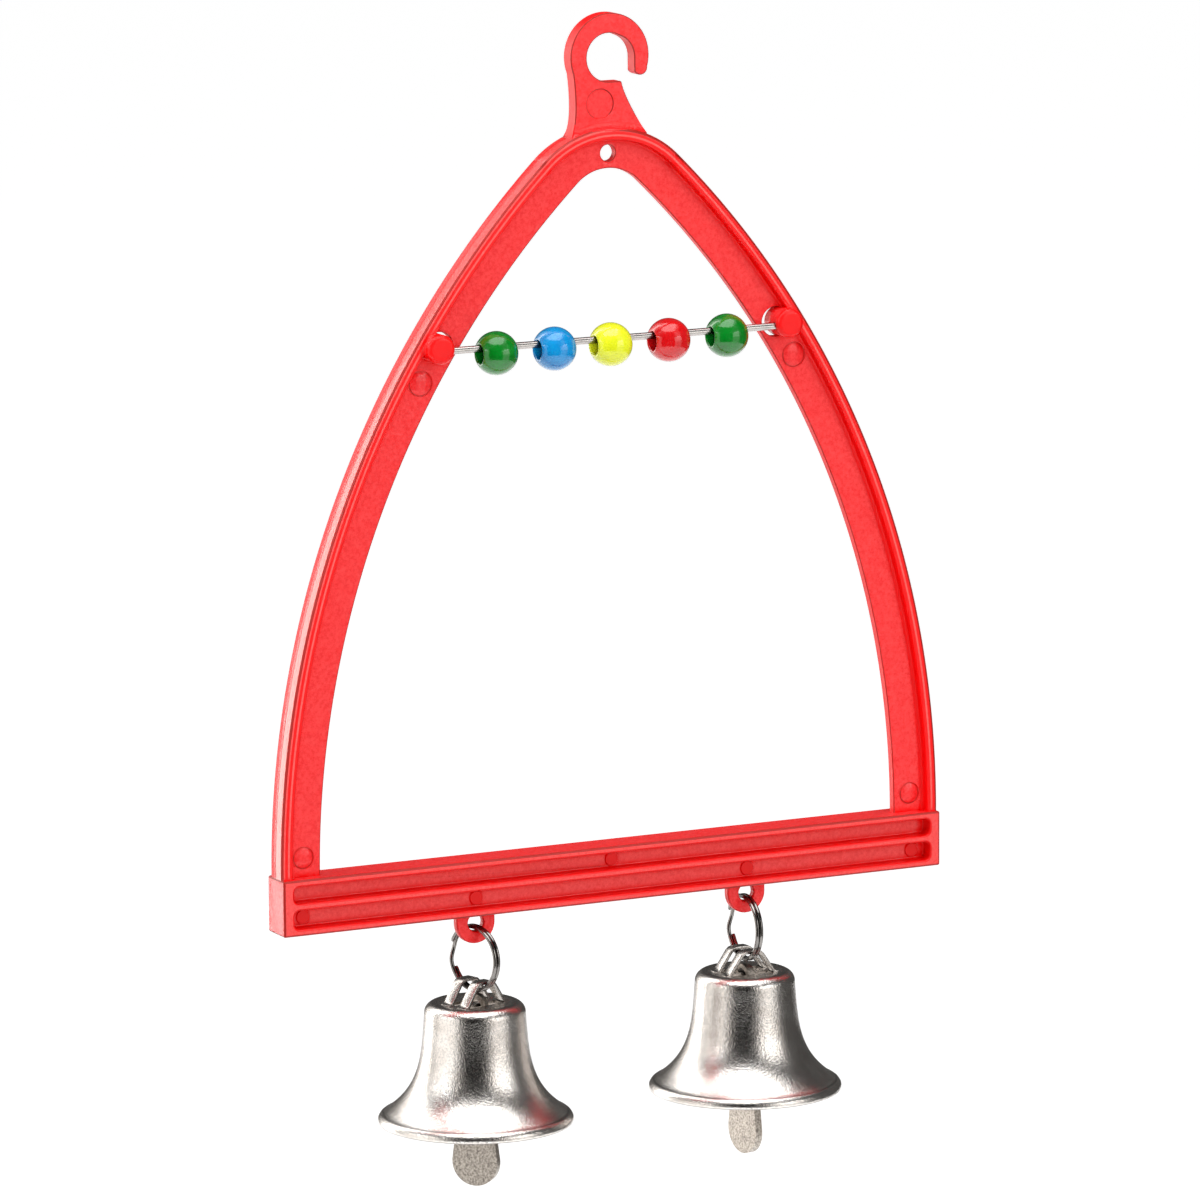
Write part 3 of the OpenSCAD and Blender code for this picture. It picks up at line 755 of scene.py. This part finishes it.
# (radius, height) on the dished crown; then (radius or distance in, depth) along the rim's band
CROWN = ((0.0, -0.28), (3.0, -0.28), (5.6, -0.26), (6.4, -0.16), (6.9, -0.04))
BAND_STEP = ((0.42, 0.16), (0.72, 0.38))
BAND_ROUND = ((0.22, 0.66), (0.04, 0.98), (0.0, 1.25))
RIM_ROUND = ((0.0, 0.22), (0.08, 0.07), (0.24, 0.0))
INNER_LIP = ((0.08, 0.04), (0.0, 0.2))
LIP_ROOM = 0.3
CARRIER_W, STRAP_EDGE, STRAP_W, STRAP_OFF, STRAP_ROUND = 1.6, 2.95, 2.1, 2.12, 0.1
STRAP_RISE = 4.65  # from the crown's underside to the tops of the solid's straps
SLOT_HALF, SLOT_ROOM, SLOT_CUT = 4.05, 0.1, 1.6
CLAPPER_ROUND = 0.14
# where shade is painted on the plating, and how dark it is painted there
STRAPS_DOWN, CROWN_DOWN, RIM_UP, LINE_NEAR = 0.1, 0.27, 0.25, 0.2
STRAP_TONE, CROWN_TONE, RIM_TONE, LINE_TONE = 0.5, 0.3, 0.8, 0.45
# half of a strap's middle line as (x, height), from its top down to the crown
STRAP_HALF = [(0.0, 3.93), (1.2, 3.90), (1.75, 3.72), (2.2, 3.3), (3.9, 0.8), (4.25, 0.25),
              (4.6, -0.12), (5.1, -0.34), (5.5, -0.4)]


def bell_radius(d):
    """The body's outer radius at a depth below the crown."""
    return BODY_R + SLOPE * d + FLARE_W * (d / BELL_H) ** FLARE_POWER


def bell_profile():
    """Outside from the middle of the crown to the rim, round the lip, and back up inside."""
    top, low = SHOULDER_R, BELL_H - BAND_H
    outer = list(CROWN)
    for a in range(0, 91, 9):
        s, c = math.sin(math.radians(a)), math.cos(math.radians(a))
        outer.append((CROWN_R + SHOULDER_R * s, SHOULDER_R * (c - 1)))
    for k in range(1, BODY_STEPS + 1):
        d = top + (low - top) * k / BODY_STEPS
        outer.append((bell_radius(d), -d))
    outer += [(bell_radius(low) + x, -low - z) for x, z in BAND_STEP]
    outer += [(RIM_R - x, -low - z) for x, z in BAND_ROUND]
    sheet = outer[1:]
    outer += [(RIM_R - x, -BELL_H + z) for x, z in RIM_ROUND]
    lip = [(RIM_R - SHEET + x, -BELL_H + z) for x, z in INNER_LIP]
    inner = []
    for i in range(len(sheet) - 1, 0, -1):
        a, b = Vector(sheet[i - 1]), Vector(sheet[min(i + 1, len(sheet) - 1)])
        t = (b - a).normalized()
        q = Vector(sheet[i]) + Vector((t.y, -t.x)) * SHEET
        if q.y > -BELL_H + LIP_ROOM:
            inner.append((q.x, q.y))
    return outer + lip + inner + [(0.0, CROWN[0][1] - SHEET)]


def strap(y):
    """A flat strip bent up out of the crown."""
    bm = bmesh.new()
    pts = [Vector((-x, z)) for x, z in reversed(STRAP_HALF[1:])] + [Vector(p) for p in STRAP_HALF]
    y0, y1 = y - STRAP_W / 2, y + STRAP_W / 2
    rows = []
    for i, p in enumerate(pts):
        t = (pts[min(i + 1, len(pts) - 1)] - pts[max(i - 1, 0)]).normalized()
        n = Vector((-t.y, t.x)) * SHEET / 2
        upper, lower = p + n, p - n
        rows.append([bm.verts.new((q.x, side, q.y)) for q, side in
                     ((upper, y0), (upper, y1), (lower, y1), (lower, y0))])
    ob = mesh_object("strap_part", skin(bm, rows), 50.0)
    bevel(ob, STRAP_ROUND)
    return applied(ob)


def bell_tone(c, n):
    """How much shade is painted on the plating at the centre of a face: on the straps, crown, rim and
    the band's line; the body's is left bright.
    """
    down = -c.z
    if down < STRAPS_DOWN:
        return STRAP_TONE
    if down < CROWN_DOWN:
        return CROWN_TONE
    if down > BELL_H - RIM_UP:
        return RIM_TONE
    return LINE_TONE if abs(down - BELL_H + BAND_H) < LINE_NEAR else 0.0


def build_bell(side):
    """One pressed sheet: the bell's shell, with a slot in the crown under each strap."""
    place, axis = joint_place("bell_%s_swing" % side)
    crown = box_mm("bell_" + side)[1].z - (STRAP_RISE - SHEET)
    ob = mesh_object("nickel_bell_" + side, lathe(bell_profile()), 40.0)
    cuts = []
    for s in BOTH:
        y0, y1 = sorted((s * CARRIER_W / 2, s * (STRAP_EDGE + SLOT_ROOM)))
        slot = slab((-SLOT_HALF, y0, -SLOT_CUT), (SLOT_HALF, y1, SLOT_CUT))
        cuts.append(mesh_object("cut", slot))
    combine(ob, cuts, "DIFFERENCE")
    combine(ob, [strap(s * STRAP_OFF) for s in BOTH], "UNION")
    soften(ob, 40.0)
    paint_tones(ob, bell_tone)
    placed(ob, facing((place.x, place.y, crown), axis))
    return dress(ob, NICKEL)


# ---------------------------------------------------------------- split rings
COIL_R, COIL_WIRE_R, COIL_SIDES, COIL_STEPS = 5.9, 0.38, 16, 150
COIL_CUT, COIL_CROSS = 24.0, 16.0  # degrees left open at each end, and half the crossing
COIL_GAP, COIL_CHAMFER = 1.02, 0.1


def build_ring(side):
    """Two turns of wire side by side, which cross over opposite the ends."""
    place, axis = joint_place("bell_%s_swing" % side)
    pts = []
    for k in range(COIL_STEPS + 1):
        a = COIL_CUT + k * (720 - 2 * COIL_CUT) / COIL_STEPS
        across = max(-1.0, min(1.0, (a - 360) / COIL_CROSS))
        x = math.sin(math.radians(90 * across)) * COIL_WIRE_R * COIL_GAP
        y, z = COIL_R * math.cos(math.radians(a)), COIL_R * math.sin(math.radians(a))
        pts.append(Vector((x, y, z)))
    coil = tube(pts, COIL_WIRE_R, COIL_SIDES, COIL_CHAMFER)
    ob = mesh_object("steel_split_ring_" + side, coil, 60.0)
    placed(ob, facing(place, axis))
    return dress(ob, RING_STEEL)


# ---------------------------------------------------------------- beads
BEAD_R, BORE_R, LIP, BEAD_STEPS = 3.975, 1.7, 0.32, 36
LIP_ANGLES = (20, 45, 70, 90)


def build_bead(node):
    """A ball with a bore along X and rounded lips."""
    low, high = box_mm(node)
    end = math.sqrt(BEAD_R ** 2 - (BORE_R + LIP) ** 2)
    a0 = math.atan2(end, BORE_R + LIP)
    angles = [a0 - 2 * a0 * k / BEAD_STEPS for k in range(BEAD_STEPS + 1)]
    outer = [(BEAD_R * math.cos(a), BEAD_R * math.sin(a)) for a in angles]
    lip = [(BORE_R + LIP * (1 - math.sin(math.radians(a))),
            end - LIP * (1 - math.cos(math.radians(a)))) for a in LIP_ANGLES]
    profile = outer + [(r, -z) for r, z in lip] + list(reversed(lip))
    ob = mesh_object(node + "_glossy", lathe(profile, 72, closed=True), 50.0)
    turn = Matrix.Rotation(math.radians(90), 4, "Y")
    return placed(ob, Matrix.Translation((low + high) / 2) @ turn)


# ---------------------------------------------------------------- putting the part together
ob = build_frame()
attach(ob, "frame")
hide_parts("hanging_hook", "arch", "perch_bar")

for side in ("left", "right"):
    ob = build_bell(side)
    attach(ob, "bell_" + side)
    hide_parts("bell_" + side)
    ob = build_ring(side)
    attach(ob, "split_ring_" + side)
    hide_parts("split_ring_" + side)
    bevel(carried("clapper_" + side, STAMPED), CLAPPER_ROUND)

for node, (slot, colour, deep) in BEAD_COLOURS.items():
    ob = dress(build_bead(node), bead_material(node, colour, deep))
    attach(ob, node)
    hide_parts(node)

carried("bead_wire", WIRE_STEEL)


# ---------------------------------------------------------------- floor, background and light
CAMERA_AZ, CAMERA_EL, CAMERA_ROLL = -26.350, 10.097, -0.363
CAMERA_DISTANCE, CAMERA_LENS, SENSOR_W, CLIP_END = 1432.99, 236.208, 36.0, 100.0
TARGET = Vector((-1.744, 0.0, -99.141))
FLOOR_Z, FLOOR_R, FLOOR_GLOW, FLOOR_GREY = -0.52, 9000.0, 0.62, 0.85
SKY_LIGHT, SKY_SEEN = 0.44, 1.0
WHITE = (1, 1, 1, 1)
SEEN_RAYS = ("Is Camera Ray", "Is Glossy Ray", "Is Transmission Ray")
CARD_R, CARD_COLS, CARD_ROWS, CARD_TINT = 900, 16, 6, (1.0, 0.97, 0.94)
# name, azimuth from and to, elevation from and to in degrees, brightness
CARDS = [
    ("front", -38, 34, -26, 28, 0.004),
    ("left", -96, -38, -26, 20, 1.3),
    ("left_gap", -112, -96, -26, 25, 0.10),
    ("left_bright", -127, -112, -26, 60, 5.2),
    ("left_back", -146, -127, -26, 26, 1.1),
    ("right", 34, 72, 1.5, 20, 2.2),
    ("right_low", 34, 72, -26, 1.5, 1.0),
    ("right_side", 72, 146, -26, 30, 0.07),
    ("upper", -92, 146, 23, 52, 0.04),
    ("back", 146, 214, -16, 70, 0.08),
]
# name, azimuth, elevation, distance, size, power, seen in reflections
LAMPS = [
    ("key_left", -66, 34, 1000, (500, 700), 6.0, True),
    ("fill_right", 58, 30, 1000, (500, 700), 3.6, True),
    ("overhead", 0, 80, 800, (900, 800), 6.0, True),
    ("fill_front", 10, 2, 1100, (500, 500), 3.0, False),
]


def direction(az, el):
    """Unit vector to a place at azimuth az, counted from the camera, and elevation el."""
    a, e = math.radians(CAMERA_AZ) + math.radians(az), math.radians(el)
    return Vector((math.sin(a) * math.cos(e), -math.cos(a) * math.cos(e), math.sin(e)))


def seen(nt):
    """1 for rays of the camera, of reflections and of clear matter, 0 for those that light."""
    path = nt.nodes.new("ShaderNodeLightPath")
    value = path.outputs[SEEN_RAYS[0]]
    for name in SEEN_RAYS[1:]:
        value = larger(nt, value, path.outputs[name])
    return value


def build_floor():
    """A pale floor far below, which glows white where it is seen."""
    bm = bmesh.new()
    bmesh.ops.create_circle(bm, cap_ends=True, radius=FLOOR_R, segments=96)
    floor = mesh_object("floor", bm)
    floor.location.z = FLOOR_Z
    m = bpy.data.materials.new("floor_white")
    nt = empty_tree(m)
    matt = nt.nodes.new("ShaderNodeBsdfDiffuse")
    matt.inputs["Color"].default_value = (FLOOR_GREY, FLOOR_GREY, FLOOR_GREY, 1)
    glow = nt.nodes.new("ShaderNodeEmission")
    glow.inputs["Color"].default_value = WHITE
    share = nt.nodes.new("ShaderNodeMath")
    share.operation = "MULTIPLY"
    share.inputs[1].default_value = FLOOR_GLOW
    nt.links.new(seen(nt), share.inputs[0])
    nt.links.new(share.outputs[0], glow.inputs["Strength"])
    both = nt.nodes.new("ShaderNodeAddShader")
    nt.links.new(matt.outputs[0], both.inputs[0])
    nt.links.new(glow.outputs[0], both.inputs[1])
    to_output(nt, both)
    dress(floor, m)


def build_world():
    """White where it is seen, and dimmer as a light."""
    world = bpy.data.worlds.new("studio")
    scene.world = world
    nt = empty_tree(world)
    sky = nt.nodes.new("ShaderNodeBackground")
    sky.inputs["Color"].default_value = WHITE
    nt.links.new(scalar(nt, seen(nt), SKY_LIGHT, SKY_SEEN, 0.0, 1.0), sky.inputs["Strength"])
    to_output(nt, sky, "ShaderNodeOutputWorld")


def build_card(name, az0, az1, el0, el1, grey):
    """A curved card round the object that only reflections see."""
    bm = bmesh.new()
    grid = []
    for j in range(CARD_ROWS + 1):
        el = el0 + (el1 - el0) * j / CARD_ROWS
        azimuths = [az0 + (az1 - az0) * i / CARD_COLS for i in range(CARD_COLS + 1)]
        grid.append([bm.verts.new(TARGET + CARD_R * direction(az, el)) for az in azimuths])
    for low, high in zip(grid, grid[1:]):
        for i in range(CARD_COLS):
            bm.faces.new((low[i], low[i + 1], high[i + 1], high[i]))
    ob = mesh_object(name, bm)
    m = bpy.data.materials.new(name)
    nt = empty_tree(m)
    glow = nt.nodes.new("ShaderNodeEmission")
    glow.inputs["Color"].default_value = (*(grey * t for t in CARD_TINT), 1)
    to_output(nt, glow)
    dress(ob, m)
    ob.visible_camera = ob.visible_diffuse = ob.visible_transmission = ob.visible_shadow = False
    ob.visible_volume_scatter = False


def build_lamp(name, az, el, distance, size, power, reflected):
    data = bpy.data.lights.new(name, "AREA")
    data.shape, data.size, data.size_y = "RECTANGLE", size[0] * MM, size[1] * MM
    data.energy = power
    ob = bpy.data.objects.new(name, data)
    scene.collection.objects.link(ob)
    d = direction(az, el)
    ob.location = (TARGET + distance * d) * MM
    ob.rotation_euler = d.to_track_quat("Z", "Y").to_euler()
    ob.visible_glossy = reflected


def build_camera():
    a, r = math.radians(CAMERA_AZ), math.radians(CAMERA_ROLL)
    back = direction(0, CAMERA_EL)
    right = Vector((math.cos(a), math.sin(a), 0))
    up = back.cross(right)
    right, up = right * math.cos(r) + up * math.sin(r), up * math.cos(r) - right * math.sin(r)
    data = bpy.data.cameras.new("camera")
    data.lens, data.sensor_width, data.clip_end = CAMERA_LENS, SENSOR_W, CLIP_END
    cam = bpy.data.objects.new("camera", data)
    scene.collection.objects.link(cam)
    place = (TARGET + back * CAMERA_DISTANCE) * MM
    cam.matrix_world = Matrix(((right.x, up.x, back.x, place.x), (right.y, up.y, back.y, place.y),
                               (right.z, up.z, back.z, place.z), (0, 0, 0, 1)))
    scene.camera = cam


build_floor()
build_world()
for name, *area in CARDS:
    build_card("card_" + name, *area)
for lamp in LAMPS:
    build_lamp(*lamp)
build_camera()

scene.view_settings.view_transform = "Standard"
